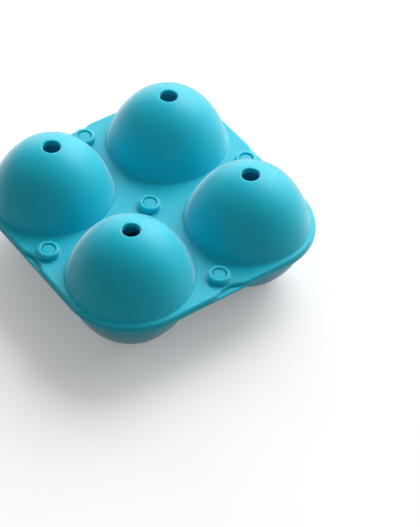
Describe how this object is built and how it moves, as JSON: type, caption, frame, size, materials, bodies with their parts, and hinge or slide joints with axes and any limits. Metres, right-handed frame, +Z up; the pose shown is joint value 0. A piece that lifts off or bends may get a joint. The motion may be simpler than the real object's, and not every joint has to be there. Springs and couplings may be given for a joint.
{
  "type": "ice ball mold",
  "caption": "Two-part soft mould for round ice: a domed upper half with fill holes closes on a lower half with cups, pegs and flat feet.",
  "frame": {"origin": "centre of the footprint, on the surface that the four feet stand on", "axes": "+Z up along the lift of the upper half; X and Y parallel to the straight sides of the flange"},
  "size_m": [0.107, 0.107, 0.0496],
  "materials": {
    "silicone_lower": "satin moulded silicone",
    "silicone_upper": "satin moulded silicone"
  },
  "bodies": {
    "lower": {"lower_mould": "silicone_lower"},
    "upper": {"upper_mould": "silicone_upper"}
  },
  "joints": [
    {"name": "upper_lift", "type": "slide", "parent": "lower", "child": "upper", "axis": [0, 0, 1], "range_m": [0, 0.06]}
  ]
}
